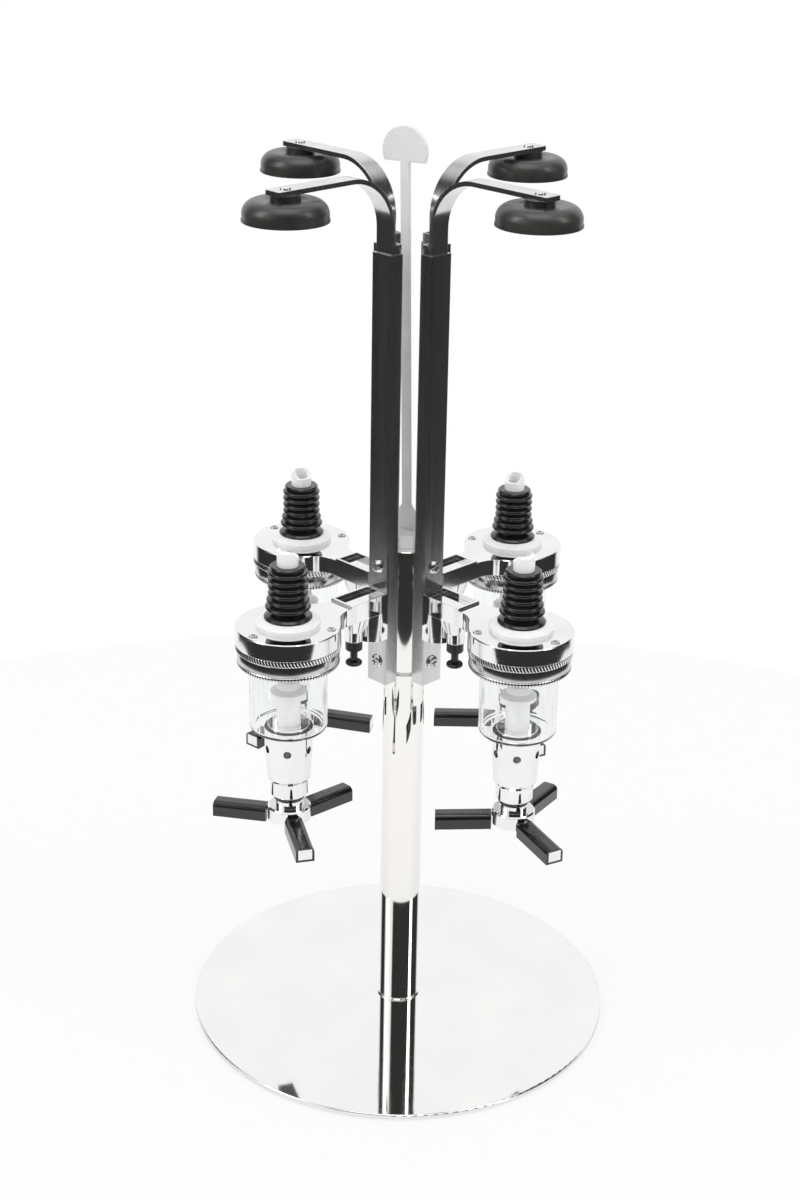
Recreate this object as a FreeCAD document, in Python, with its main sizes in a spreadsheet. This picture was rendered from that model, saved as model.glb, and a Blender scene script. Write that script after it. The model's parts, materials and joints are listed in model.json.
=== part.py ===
import FreeCAD, Part
import math
import os
import Sketcher
from FreeCAD import Placement, Rotation, Vector

# Revolving drinks stand: four upturned bottles, each over a push-up measure.
# Millimetres, +Z up, origin at the centre of the underside of the rubber feet.
# A station's own frame has +X pointing away from the column.

STATIONS = {"back_right": 45, "back_left": 135, "front_left": 225, "front_right": 315}
LEVER_TURNS = {"back_right": 10, "back_left": -25, "front_left": 60, "front_right": -16}

SIZES = [
    ("plate_diameter", 300, "round base plate"),
    ("plate_thickness", 3, "base plate"),
    ("plate_round", 1, "rounding of the plate's top edge"),
    ("foot_height", 1.5, "rubber foot"),
    ("foot_diameter", 20, "rubber foot"),
    ("foot_circle", 256, "diameter of the circle of feet"),
    ("column_diameter", 28.6, "column tube, outside"),
    ("column_wall", 1.5, "column tube"),
    ("column_length", 264, "column tube"),
    ("foot_ring_width", 1.6, "trim ring at the column's foot"),
    ("foot_ring_height", 1.2, "trim ring at the column's foot"),
    ("flange_thickness", 2.5, "spindle flange on the column's top"),
    ("rod_diameter", 10, "tie rod inside the column"),
    ("plug_length", 28, "part of the spindle that fits the column's bore"),
    ("axle_diameter", 16, "spindle where the rotor turns"),
    ("running_gap", 0.05, "radial play of turning and sliding fits"),
    ("assembly_gap", 0.1, "play between pieces that are put together once"),
    ("moving_gap", 0.3, "gap beside pieces that move"),
    ("ring_thickness", 1.6, "white bearing rings"),
    ("ring_inset", 0.4, "bearing ring's edge inside the hub's edge"),
    ("hub_length", 88.5, "rotor hub"),
    ("hub_diameter", 35, "rotor hub"),
    ("hub_flat", 16.5, "axis to the hub's four flats"),
    ("cap_height", 9.4, "hub cap"),
    ("cap_wall", 2.2, "hub cap"),
    ("cap_groove", 1, "groove under the hub cap"),
    ("axle_nut_diameter", 20, "nut that keeps the rotor on the spindle"),
    ("axle_nut_height", 4, "nut that keeps the rotor on the spindle"),
    ("base_screw_diameter", 6, "screw from under the plate"),
    ("base_screw_head", 11, "screw from under the plate"),
    ("base_screw_length", 20, "screw from under the plate"),
    ("channel_width", 17, "channel extrusion"),
    ("channel_depth", 10, "channel extrusion"),
    ("channel_wall", 1.3, "channel extrusion"),
    ("channel_length", 296.5, "channel extrusion"),
    ("channel_drop", 6.2, "channel's lower end below the hub"),
    ("liner_wall", 0.9, "liner inside the channel"),
    ("liner_stand", 6, "liner above the channel's rim"),
    ("screw_diameter", 4, "channel screws"),
    ("screw_head", 9, "channel screws"),
    ("screw_head_height", 2.4, "channel screws"),
    ("screw_height", 15.8, "lower channel screw above the channel's end"),
    ("screw_spacing", 69.4, "between a channel's two screws"),
    ("screw_grip", 6, "thread length in the hub"),
    ("recess_width", 1.1, "cross recess in a screw"),
    ("recess_length", 4.6, "cross recess in a screw"),
    ("recess_depth", 1.2, "cross recess in a screw"),
    ("station_radius", 106.5, "column axis to a bottle's axis"),
    ("housing_top", 333.3, "top face of the measure's housing above the table"),
    ("housing_diameter", 69.2, "measure's housing"),
    ("housing_height", 11.6, "visible band of the housing"),
    ("housing_roof", 3, "housing's top wall"),
    ("housing_chamfer", 0.6, "edge of the housing"),
    ("spigot_diameter", 61.6, "threaded spigot inside the retaining ring"),
    ("spigot_bore", 54, "inside of the spigot"),
    ("ring_height", 14.6, "retaining ring"),
    ("ring_taper", 1, "how much the retaining ring narrows downwards"),
    ("ring_lip", 3, "retaining ring's lower lip"),
    ("knurl_depth", 0.5, "knurled band of the retaining ring"),
    ("knurl_height", 4.2, "knurled band of the retaining ring"),
    ("bead_height", 2, "beaded band of the retaining ring"),
    ("knurl_teeth", 90, "teeth around the retaining ring"),
    ("gasket_thickness", 1, "flat gasket over the chamber"),
    ("chamber_diameter", 51.6, "clear chamber"),
    ("chamber_wall", 2, "clear chamber"),
    ("chamber_flange", 2.4, "clear chamber's flange"),
    ("chamber_length", 50.6, "clear chamber below its flange"),
    ("chamber_round", 3.5, "lower corner of the chamber"),
    ("outlet_neck", 28, "outlet where it passes through the chamber's floor"),
    ("outlet_neck_height", 1.2, "outlet neck above the chamber's floor"),
    ("outlet_top", 32, "outlet below the chamber"),
    ("outlet_waist", 29.2, "outlet at its step"),
    ("outlet_end", 25.2, "outlet below its step"),
    ("outlet_length", 49.2, "outlet below the chamber"),
    ("outlet_step", 36.5, "chamber to the outlet's step"),
    ("vent_diameter", 5.2, "vent holes of the outlet"),
    ("vent_drop", 13.5, "chamber to the vent holes"),
    ("vent_count", 6, "vent holes of the outlet"),
    ("cavity_diameter", 22, "outlet's bore around the lever spring"),
    ("cavity_length", 25.7, "outlet's bore around the lever spring"),
    ("plunger_diameter", 16, "plunger tube"),
    ("plunger_bore", 10, "plunger tube"),
    ("plunger_length", 82, "plunger"),
    ("plunger_head", 24, "plunger head"),
    ("lever_travel", 7, "how far a glass pushes the lever up"),
    ("stem_diameter", 18.8, "lever stem"),
    ("collar_diameter", 20.8, "collar of the lever stem, under the spring"),
    ("collar_height", 2, "collar of the lever stem"),
    ("stem_rise", 3.7, "collar's top above the outlet's mouth"),
    ("seal_diameter", 20.6, "black ring on the lever stem"),
    ("seal_height", 3.6, "black ring on the lever stem"),
    ("lever_hub_diameter", 29, "lever hub"),
    ("lever_hub_height", 11.7, "lever hub"),
    ("lever_hub_gap", 1.6, "hub to the outlet's mouth with the lever pushed up"),
    ("pour_bore", 8, "passage through the lever"),
    ("arm_length", 52.6, "lever arm from the axis to its tip"),
    ("arm_width", 9.2, "lever arm"),
    ("arm_height", 7.2, "lever arm"),
    ("arm_below", 2, "lever arm's root below the middle of the hub"),
    ("arm_droop", 2.2, "lever arm's tip below its root"),
    ("sleeve_wall", 1.6, "lever sleeve"),
    ("sleeve_round", 3.6, "upper edges of a lever sleeve"),
    ("lever_wire", 1.1, "lever spring's wire"),
    ("lever_coil", 19.6, "lever spring's mean diameter"),
    ("lever_coil_turns", 6, "lever spring"),
    ("bracket_width", 20, "bracket arm"),
    ("bracket_fillet", 18, "bracket arm into the housing"),
    ("rim_rise", 1.5, "panel rims above the housing's top"),
    ("rim_width", 1.7, "panel rims"),
    ("panel_depth", 3, "recessed panel below its rims"),
    ("panel_length", 33, "rims along the bracket arm"),
    ("keel_depth", 31.8, "bracket's root from the housing's top"),
    ("keel_length", 14.5, "bracket's root block along the arm"),
    ("boss_radius_place", 48, "column axis to the release knob"),
    ("boss_diameter", 12.4, "boss of the release knob"),
    ("boss_cone", 20, "boss where it meets the arm"),
    ("boss_cone_height", 10, "boss where it meets the arm"),
    ("boss_drop", 28.8, "housing's top to the end of the boss"),
    ("knob_collar", 11.5, "release knob's collar"),
    ("knob_collar_height", 7, "release knob's collar"),
    ("knob_neck", 5, "release knob's neck"),
    ("knob_neck_height", 8.2, "release knob's neck"),
    ("knob_disc", 11.2, "release knob's disc"),
    ("knob_disc_height", 2.6, "release knob's disc"),
    ("knob_pin", 4, "release knob's pin"),
    ("knob_pin_length", 18, "release knob's pin above its collar"),
    ("bolt_diameter", 5, "bolt that holds a bracket to its channel"),
    ("bolt_head", 8, "bolt that holds a bracket to its channel"),
    ("bolt_head_height", 2.5, "bolt that holds a bracket to its channel"),
    ("bolt_grip", 9, "thread length in the bracket"),
    ("bolt_drop", 15, "bolt below the housing's top"),
    ("top_screw_circle", 59, "circle of the housing's small screws"),
    ("top_screw_head", 6, "housing's small screws"),
    ("top_screw_head_height", 0.9, "housing's small screws"),
    ("top_screw_diameter", 2.6, "housing's small screws"),
    ("top_screw_length", 7, "housing's small screws"),
    ("disc_diameter", 42.4, "pour spout's disc"),
    ("disc_edge", 3.3, "pour spout's disc at its rim"),
    ("disc_thickness", 5, "pour spout's disc under the stopper"),
    ("disc_round", 1.2, "pour spout's disc"),
    ("spout_diameter", 14, "pour spout's tube"),
    ("spout_bore", 9, "pour spout's tube"),
    ("spout_height", 47, "pour spout's tip above the disc"),
    ("spout_tail", 5.5, "pour spout below the housing's top"),
    ("spout_notch", 5, "slant of the pour spout's tip"),
    ("stopper_height", 36.2, "ribbed stopper"),
    ("stopper_flange", 31.6, "stopper's foot"),
    ("stopper_flange_height", 4.6, "stopper's foot"),
    ("stopper_neck", 21, "stopper above its foot"),
    ("first_rib", 7.8, "stopper's lowest rib above its foot"),
    ("rib_pitch", 4.7, "between the stopper's ribs"),
    ("rib_low", 29.8, "lowest rib"),
    ("rib_high", 26, "highest ribs"),
    ("rib_depth", 2.3, "groove between ribs"),
    ("bar_width", 13.7, "bottle arm's flat bar"),
    ("bar_thickness", 3, "bottle arm's flat bar"),
    ("bar_bend", 36, "outside of the bottle arm's bend"),
    ("bar_rise", 51.5, "bottle arm's top above the channel's rim"),
    ("bar_engaged", 142, "bottle arm inside the channel at rest"),
    ("bar_end", 11, "bottle arm beyond the bottle's axis"),
    ("cup_diameter", 53.6, "rubber cup"),
    ("cup_height", 12.8, "rubber cup's dome"),
    ("cup_side", 4.3, "rubber cup's straight side"),
    ("cup_wall", 2.6, "rubber cup"),
    ("cup_crease", 27, "circle where the dome begins to dip towards its boss"),
    ("cup_dip", 0.8, "dip of the dome round its boss"),
    ("cup_lip", 1.2, "lip of the cup"),
    ("cup_lip_width", 0.4, "how far the lip stands out"),
    ("cup_neck", 18.6, "boss between the cup and its arm"),
    ("cup_neck_height", 3.2, "boss between the cup and its arm"),
    ("rivet_diameter", 7, "rivet head on the bottle arm"),
    ("rivet_height", 1, "rivet head on the bottle arm"),
    ("arm_wire", 0.8, "arm spring's wire"),
    ("arm_coil", 4.8, "arm spring's mean diameter"),
    ("arm_coil_turns", 24, "arm spring"),
    ("handle_height", 267.8, "lift handle above the hub cap"),
    ("handle_thickness", 3.2, "lift handle"),
    ("handle_stem", 6.4, "lift handle's stem"),
    ("handle_foot", 14, "lift handle's foot"),
    ("handle_foot_height", 11.5, "lift handle's foot"),
    ("handle_flare", 6, "lift handle's foot into its stem"),
    ("handle_head", 32, "lift handle's head"),
    ("head_cut", 6.5, "head's flat edge below its centre"),
]
HANDLE_TURN = -29
HANDLE_LEAN = -1.2
BOSS_TAPER = 18
OUTLET_TURN = -90

doc = FreeCAD.newDocument("drinks_stand")
sheet = doc.addObject("Spreadsheet::Sheet", "Sizes")


class Size:
    """A length that knows its number and the formula that made it."""

    def __init__(self, number, formula):
        self.number = float(number)
        self.formula = formula

    def __add__(self, other):
        other = as_size(other)
        return Size(self.number + other.number, f"({self.formula} + {other.formula})")

    def __sub__(self, other):
        other = as_size(other)
        return Size(self.number - other.number, f"({self.formula} - {other.formula})")

    def __mul__(self, other):
        other = as_size(other)
        return Size(self.number * other.number, f"({self.formula} * {other.formula})")

    def __truediv__(self, other):
        other = as_size(other)
        return Size(self.number / other.number, f"({self.formula} / {other.formula})")

    def __neg__(self):
        return Size(-self.number, f"(0 - {self.formula})")

    __radd__ = __add__
    __rmul__ = __mul__

    def __rsub__(self, other):
        return as_size(other) - self


def as_size(value):
    if isinstance(value, Size):
        return value
    return Size(value, repr(float(value)))


def square_root(size):
    return Size(math.sqrt(size.number), f"sqrt({size.formula})")


class Names:
    """The driving dimensions, by name."""


dim = Names()
for row, (name, number, meaning) in enumerate(SIZES, start=1):
    sheet.set(f"A{row}", name)
    sheet.set(f"B{row}", str(number))
    sheet.set(f"C{row}", meaning)
    sheet.setAlias(f"B{row}", name)
    setattr(dim, name, Size(number, f"Sizes.{name}"))
doc.recompute()


def bind(item, path, size):
    """Ties one property of an object to the sheet."""
    item.setExpression(path, as_size(size).formula)


def plane_of(body, role):
    return next(part for part in body.Origin.OriginFeatures if part.Role == role)


def new_body(label):
    body = doc.addObject("PartDesign::Body", label)
    body.Label = label
    return body


def new_sketch(body, plane="XZ_Plane", offset=None):
    sketch = body.newObject("Sketcher::SketchObject", body.Label + "_sketch")
    sketch.AttachmentSupport = [(plane_of(body, plane), "")]
    sketch.MapMode = "FlatFace"
    if offset is not None:
        sketch.AttachmentOffset = Placement(Vector(0, 0, as_size(offset).number), Rotation())
        bind(sketch, "AttachmentOffset.Base.z", offset)
    return sketch


def arc_between(start, end, radius):
    """The shorter arc of an outline, bulging to the right of its way if the radius is positive.

    It is made anticlockwise; the second result says whether that turned its ends round.
    """
    half = (end - start) * 0.5
    right = Vector(half.y, -half.x, 0).normalize()
    side = 1 if radius > 0 else -1
    rise = math.sqrt(max(radius * radius - half.Length ** 2, 0))
    centre = start + half - right * (rise * side)
    top = centre + right * (abs(radius) * side)
    if side > 0:
        return Part.Arc(start, top, end), False
    return Part.Arc(end, top, start), True


def draw_outline(sketch, points):
    """A closed outline. A point is (x, y), or (x, y, radius) if an arc ends there."""
    corners = [(as_size(point[0]), as_size(point[1])) for point in points]
    radii = [point[2] if len(point) > 2 else None for point in points]
    places = [Vector(x.number, y.number, 0) for x, y in corners]
    count = len(points)
    edges = []
    flipped = []
    for index in range(count):
        start = places[index]
        after = (index + 1) % count
        end = places[after]
        if radii[after] is None:
            edges.append(sketch.addGeometry(Part.LineSegment(start, end)))
            flipped.append(False)
        else:
            arc, turned_round = arc_between(start, end, as_size(radii[after]).number)
            edges.append(sketch.addGeometry(arc))
            flipped.append(turned_round)
    first = [2 if flip else 1 for flip in flipped]
    last = [1 if flip else 2 for flip in flipped]
    for index in range(count):
        after = (index + 1) % count
        sketch.addConstraint(Sketcher.Constraint(
            "Coincident", edges[index], last[index], edges[after], first[after]))
    for index, (x, y) in enumerate(corners):
        for kind, size in (("DistanceX", x), ("DistanceY", y)):
            number = sketch.addConstraint(Sketcher.Constraint(
                kind, -1, 1, edges[index], first[index], size.number))
            bind(sketch, f"Constraints[{number}]", size)
        after = (index + 1) % count
        if radii[after] is not None:
            radius = as_size(radii[after])
            if radius.number < 0:
                radius = -radius
            number = sketch.addConstraint(Sketcher.Constraint("Radius", edges[index], radius.number))
            bind(sketch, f"Constraints[{number}]", radius)


def draw_circle(sketch, x, y, diameter):
    x, y, diameter = as_size(x), as_size(y), as_size(diameter)
    circle = Part.Circle(Vector(x.number, y.number, 0), Vector(0, 0, 1), diameter.number / 2)
    edge = sketch.addGeometry(circle)
    for kind, size in (("DistanceX", x), ("DistanceY", y)):
        number = sketch.addConstraint(Sketcher.Constraint(kind, -1, 1, edge, 3, size.number))
        bind(sketch, f"Constraints[{number}]", size)
    number = sketch.addConstraint(Sketcher.Constraint("Diameter", edge, diameter.number))
    bind(sketch, f"Constraints[{number}]", diameter)


def finish_feature(body, feature):
    doc.recompute()
    body.Tip = feature
    return feature


def revolve(body, points, cut=False):
    """Turns an outline of (radius, height) points about the body's Z axis."""
    sketch = new_sketch(body)
    draw_outline(sketch, points)
    kind = "PartDesign::Groove" if cut else "PartDesign::Revolution"
    feature = body.newObject(kind, body.Label + "_turned")
    feature.Profile = sketch
    feature.ReferenceAxis = (sketch, ["V_Axis"])
    feature.Angle = 360
    return finish_feature(body, feature)


def extrude(body, draw, length, plane="XY_Plane", offset=None, cut=False, symmetric=False, flip=False,
            taper=0):
    """Pads or pockets what draw puts in the sketch."""
    sketch = new_sketch(body, plane, offset)
    draw(sketch)
    kind = "PartDesign::Pocket" if cut else "PartDesign::Pad"
    feature = body.newObject(kind, body.Label + "_pulled")
    feature.Profile = sketch
    feature.SideType = "Symmetric" if symmetric else "One side"
    feature.Reversed = flip
    feature.TaperAngle = taper
    feature.Length = as_size(length).number
    bind(feature, "Length", length)
    before = body.Shape.Volume if cut else 0
    finish_feature(body, feature)
    if cut and body.Shape.Volume >= before:
        raise RuntimeError(f"{body.Label}: a pocket removes nothing")
    return feature


def outline(points):
    return lambda sketch: draw_outline(sketch, points)


def circles(places, diameter):
    def draw(sketch):
        for x, y in places:
            draw_circle(sketch, x, y, diameter)
    return draw


def box_outline(x_low, x_high, y_low, y_high):
    return outline([(x_low, y_low), (x_high, y_low), (x_high, y_high), (x_low, y_high)])


def pattern(body, features, count, whole=False):
    """Repeats features, or the whole body, round the Z axis."""
    polar = body.newObject("PartDesign::PolarPattern", body.Label + "_round")
    polar.Axis = (plane_of(body, "Z_Axis"), [""])
    polar.Angle = 360
    polar.Occurrences = int(as_size(count).number)
    if isinstance(count, Size):
        bind(polar, "Occurrences", count)
    polar.TransformMode = "Whole shape" if whole else "Features"
    if not whole:
        polar.Originals = features
    return finish_feature(body, polar)


def soften(body, radius, wanted, chamfer=False):
    """Rounds the edges of the body's tip for which wanted(edge) holds."""
    base = body.Tip
    names = [f"Edge{number}" for number, edge in enumerate(base.Shape.Edges, start=1) if wanted(edge)]
    if not names:
        raise RuntimeError(f"{body.Label}: no edge to soften")
    feature = body.newObject("PartDesign::Chamfer" if chamfer else "PartDesign::Fillet", body.Label + "_edge")
    feature.Base = (base, names)
    key = "Size" if chamfer else "Radius"
    setattr(feature, key, as_size(radius).number)
    bind(feature, key, radius)
    return finish_feature(body, feature)


def seat(body, azimuth, radius=None, turn=0):
    """Places a body at a radius from the column, turned to its station."""
    body.Placement = Placement(Vector(), Rotation(Vector(0, 0, 1), azimuth + turn))
    if radius is not None:
        body.setExpression("Placement.Base.x", f"{radius.formula} * cos({azimuth} deg)")
        body.setExpression("Placement.Base.y", f"{radius.formula} * sin({azimuth} deg)")
    return body


# Heights and radii that several pieces share
plate_top = dim.foot_height + dim.plate_thickness
column_top = plate_top + dim.column_length
flange_top = column_top + dim.flange_thickness
hub_bottom = flange_top + dim.assembly_gap + dim.ring_thickness
hub_top = hub_bottom + dim.hub_length
washer_top = hub_top + dim.ring_thickness
cap_top = washer_top + dim.cap_height
axle_radius = dim.axle_diameter / 2
axle_bore = axle_radius + dim.running_gap
nut_bottom = washer_top + dim.moving_gap

channel_bottom = hub_bottom - dim.channel_drop
channel_top = channel_bottom + dim.channel_length
channel_back = dim.hub_flat
channel_face = channel_back + dim.channel_depth
channel_half = dim.channel_width / 2
web_inside = channel_face - dim.channel_wall
bar_outside = web_inside - dim.moving_gap
bar_inside = bar_outside - dim.bar_thickness
screw_low = channel_bottom + dim.screw_height
screw_high = screw_low + dim.screw_spacing

housing_bottom = dim.housing_top - dim.housing_height
ring_bottom = housing_bottom - dim.ring_height
flange_floor = ring_bottom + dim.ring_lip
flange_roof = flange_floor + dim.chamber_flange
gasket_roof = flange_roof + dim.gasket_thickness
spigot_radius = dim.spigot_diameter / 2
thread_bore = spigot_radius + dim.assembly_gap
chamber_bottom = flange_floor - dim.chamber_length
chamber_radius = dim.chamber_diameter / 2
chamber_bore = chamber_radius - dim.chamber_wall
neck_radius = dim.outlet_neck / 2
chamber_floor = chamber_bottom + dim.chamber_wall
outlet_mouth = chamber_bottom - dim.outlet_length
cavity_top = outlet_mouth + dim.cavity_length
collar_top = outlet_mouth + dim.stem_rise
lever_hub_top = outlet_mouth - dim.lever_travel - dim.lever_hub_gap
lever_hub_bottom = lever_hub_top - dim.lever_hub_height
lever_arm_root = dim.lever_hub_diameter / 4
lever_arm_height = (lever_hub_top + lever_hub_bottom) / 2 - dim.arm_below
plunger_radius = dim.plunger_diameter / 2

disc_top = dim.housing_top + dim.disc_thickness
spout_radius = dim.spout_diameter / 2
spout_top = disc_top + dim.spout_height
bar_top = channel_top + dim.bar_rise
bar_low_end = channel_top - dim.bar_engaged
cup_top = bar_top - dim.bar_thickness
dome_top = cup_top - dim.cup_neck_height
cup_rim = dome_top - dim.cup_height
boss_end = dim.housing_top - dim.boss_drop
to_column = -dim.station_radius


# Base plate: a disc with a rounded rim and a countersunk hole for the axle screw
def make_base_plate():
    body = new_body("base_plate")
    rim = dim.plate_diameter / 2
    hole = dim.base_screw_diameter / 2 + dim.assembly_gap
    sink = dim.base_screw_head / 2 + dim.assembly_gap
    low = dim.foot_height
    revolve(body, [
        (sink, low),
        (rim, low),
        (rim, plate_top - dim.plate_round),
        (rim - dim.plate_round, plate_top, dim.plate_round),
        (hole, plate_top),
        (hole, low + (sink - hole)),
    ])


# Rubber feet: four pads stuck under the plate
def make_rubber_feet():
    body = new_body("rubber_feet")
    extrude(body, circles([(dim.foot_circle / 2, 0)], dim.foot_diameter), dim.foot_height)
    pattern(body, [], 4, whole=True)
    seat(body, 45)


# Column: a tube with a thin trim ring at its foot
def make_column():
    body = new_body("column")
    outside = dim.column_diameter / 2
    inside = outside - dim.column_wall
    ring_top = plate_top + dim.foot_ring_height
    revolve(body, [
        (inside, plate_top),
        (outside + dim.foot_ring_width, plate_top),
        (outside + dim.foot_ring_width, ring_top - dim.foot_ring_height / 2),
        (outside + dim.foot_ring_width / 2, ring_top),
        (outside, ring_top),
        (outside, column_top),
        (inside, column_top),
    ])


# Spindle: tie rod, plug, flange that clamps the column, and the axle of the rotor
def make_spindle():
    body = new_body("spindle")
    rod = dim.rod_diameter / 2
    plug = dim.column_diameter / 2 - dim.column_wall - dim.assembly_gap
    screw_hole = dim.base_screw_diameter / 2 + dim.running_gap
    screw_end = dim.foot_height + dim.base_screw_length + dim.assembly_gap
    axle_top = nut_bottom + dim.axle_nut_height
    axle_chamfer = dim.axle_diameter / 16
    revolve(body, [
        (0, screw_end),
        (screw_hole, screw_end),
        (screw_hole, plate_top),
        (rod, plate_top),
        (rod, column_top - dim.plug_length),
        (plug, column_top - dim.plug_length),
        (plug, column_top),
        (dim.column_diameter / 2, column_top),
        (dim.column_diameter / 2, flange_top),
        (axle_radius, flange_top),
        (axle_radius, axle_top - axle_chamfer),
        (axle_radius - axle_chamfer, axle_top),
        (0, axle_top),
    ])


# Axle fasteners: the countersunk screw under the plate and the nut on the spindle
def make_axle_fasteners():
    body = new_body("axle_fasteners")
    shank = dim.base_screw_diameter / 2
    head = dim.base_screw_head / 2
    low = dim.foot_height
    revolve(body, [
        (0, low),
        (head, low),
        (shank, low + (head - shank)),
        (shank, low + dim.base_screw_length),
        (0, low + dim.base_screw_length),
    ])
    nut = dim.axle_nut_diameter / 2
    inner = axle_radius + dim.running_gap
    nut_round = dim.axle_nut_height / 8
    revolve(body, [
        (inner, nut_bottom),
        (nut, nut_bottom),
        (nut, nut_bottom + dim.axle_nut_height - nut_round),
        (nut - nut_round, nut_bottom + dim.axle_nut_height),
        (inner, nut_bottom + dim.axle_nut_height),
    ])


# Bearing rings: one under the hub, one over it
def make_bearing_rings():
    body = new_body("bearing_rings")
    outside = dim.hub_flat - dim.ring_inset
    for low in (hub_bottom - dim.ring_thickness, hub_top):
        high = low + dim.ring_thickness
        revolve(body, [(axle_bore, low), (outside, low), (outside, high), (axle_bore, high)])


# Rotor hub: a bored round bar with four flats and two tapped holes in each flat
def make_rotor_hub():
    body = new_body("rotor_hub")
    outside = dim.hub_diameter / 2
    edge = dim.ring_inset
    revolve(body, [
        (axle_bore, hub_bottom),
        (outside - edge, hub_bottom),
        (outside, hub_bottom + edge),
        (outside, hub_top - edge),
        (outside - edge, hub_top),
        (axle_bore, hub_top),
    ])
    flat = extrude(body, box_outline(dim.hub_flat, dim.hub_diameter, -outside, outside),
                   dim.hub_length, offset=hub_bottom, cut=True, flip=True)
    thread = dim.screw_diameter + dim.assembly_gap
    holes = extrude(body, circles([(0, screw_low), (0, screw_high)], thread),
                    dim.screw_grip + dim.assembly_gap, plane="YZ_Plane", offset=dim.hub_flat, cut=True)
    pattern(body, [flat, holes], 4)
    seat(body, 45)


# Hub cap: a shallow lid with a groove under it and a slot for the handle
def make_hub_cap():
    body = new_body("hub_cap")
    outside = dim.hub_flat - dim.assembly_gap
    inset = outside - dim.cap_groove
    nut_room = dim.axle_nut_diameter / 2 + dim.moving_gap * 2
    ceiling = cap_top - dim.cap_wall
    edge = dim.cap_groove
    revolve(body, [
        (nut_room, washer_top),
        (inset, washer_top),
        (inset, washer_top + dim.cap_groove),
        (outside, washer_top + dim.cap_groove),
        (outside, cap_top - edge),
        (outside - edge, cap_top, edge),
        (0, cap_top),
        (0, ceiling),
        (nut_room, ceiling),
    ])
    half_long = dim.handle_foot / 2 + dim.moving_gap
    half_thick = dim.handle_thickness / 2 + dim.moving_gap
    depth = dim.cap_wall / 2
    extrude(body, box_outline(-half_long, half_long, -half_thick, half_thick),
            depth, offset=cap_top, cut=True)
    seat(body, HANDLE_TURN)


# Lift handle: a flat blade with a flared foot and a half-moon head
def make_lift_handle():
    body = new_body("lift_handle")
    foot = dim.handle_foot / 2
    stem = dim.handle_stem / 2
    low = dim.moving_gap - dim.cap_wall / 2
    radius = dim.handle_head / 2
    centre = dim.handle_height - radius
    head_low = centre - dim.head_cut
    extrude(body, outline([
        (-foot, low),
        (foot, low),
        (foot, dim.handle_foot_height),
        (stem, dim.handle_foot_height + dim.handle_flare),
        (stem, head_low + dim.head_cut),
        (-stem, head_low + dim.head_cut),
        (-stem, dim.handle_foot_height + dim.handle_flare),
        (-foot, dim.handle_foot_height),
    ]), dim.handle_thickness, plane="XZ_Plane", symmetric=True)
    half_chord = square_root(radius * radius - dim.head_cut * dim.head_cut)
    extrude(body, outline([
        (-half_chord, head_low, radius),
        (half_chord, head_low),
        (radius, centre, radius),
        (0, centre + radius, radius),
        (-radius, centre, radius),
    ]), dim.handle_thickness, plane="XZ_Plane", symmetric=True)
    edge_round = dim.handle_thickness / 4
    middle = dim.handle_height.number / 2

    def long_or_round(edge):
        high = edge.BoundBox.ZMin > dim.handle_foot_height.number
        across = edge.BoundBox.YLength > dim.handle_thickness.number / 2
        return high and not across and (edge.BoundBox.ZLength > 5 or edge.BoundBox.ZMin > middle)

    soften(body, edge_round, long_or_round)
    turn = Rotation(Vector(0, 0, 1), HANDLE_TURN)
    lean = Rotation(Vector(0, 1, 0), HANDLE_LEAN)
    body.Placement = Placement(Vector(0, 0, cap_top.number), lean.multiply(turn))
    bind(body, "Placement.Base.z", cap_top)


# Channel: a U extrusion, closed outwards, drilled for its screws and the bracket's bolt
def make_channel(name, azimuth):
    body = new_body(name + "_channel")
    inner = channel_half - dim.channel_wall
    extrude(body, outline([
        (channel_back, -channel_half),
        (channel_face, -channel_half),
        (channel_face, channel_half),
        (channel_back, channel_half),
        (channel_back, inner),
        (web_inside, inner),
        (web_inside, -inner),
        (channel_back, -inner),
    ]), dim.channel_length, offset=channel_bottom)
    bolt_height = dim.housing_top - dim.bolt_drop
    for height, size in ((screw_low, dim.screw_diameter), (screw_high, dim.screw_diameter),
                         (bolt_height, dim.bolt_diameter)):
        extrude(body, circles([(0, height)], size + dim.assembly_gap * 2), dim.channel_wall * 2,
                plane="YZ_Plane", offset=channel_face + dim.assembly_gap, cut=True)
    seat(body, azimuth)


# Channel liners: thin U strips, closed towards the hub
def make_channel_liners():
    body = new_body("channel_liners")
    half = channel_half - dim.channel_wall
    inner = half - dim.liner_wall
    leg_end = bar_inside - dim.moving_gap
    web = channel_back + dim.liner_wall
    extrude(body, outline([
        (channel_back, -half),
        (leg_end, -half),
        (leg_end, -inner),
        (web, -inner),
        (web, inner),
        (leg_end, inner),
        (leg_end, half),
        (channel_back, half),
    ]), dim.channel_length + dim.liner_stand, offset=channel_bottom)
    extrude(body, circles([(0, screw_low), (0, screw_high)], dim.screw_diameter + dim.assembly_gap * 2),
            dim.liner_wall * 2, plane="YZ_Plane", offset=web + dim.assembly_gap, cut=True)
    pattern(body, [], 4, whole=True)
    seat(body, 45)


# Fasteners of the rotor, turned about their own axes and then set in place
def turned_screw(points, recess):
    """A screw along +Z from its seat, head on top, with a cross recess."""
    wires = [Vector(radius.number, 0, height.number) for radius, height in points]
    face = Part.Face(Part.makePolygon(wires + [wires[0]]))
    shape = face.revolve(Vector(), Vector(0, 0, 1), 360)
    if recess is None:
        return shape
    top, width, length, depth = (size.number for size in recess)
    for long_x, long_y in ((length, width), (width, length)):
        slot = Part.makeBox(long_x, long_y, depth * 2)
        slot.translate(Vector(-long_x / 2, -long_y / 2, top - depth))
        shape = shape.cut(slot)
    return shape


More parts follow.
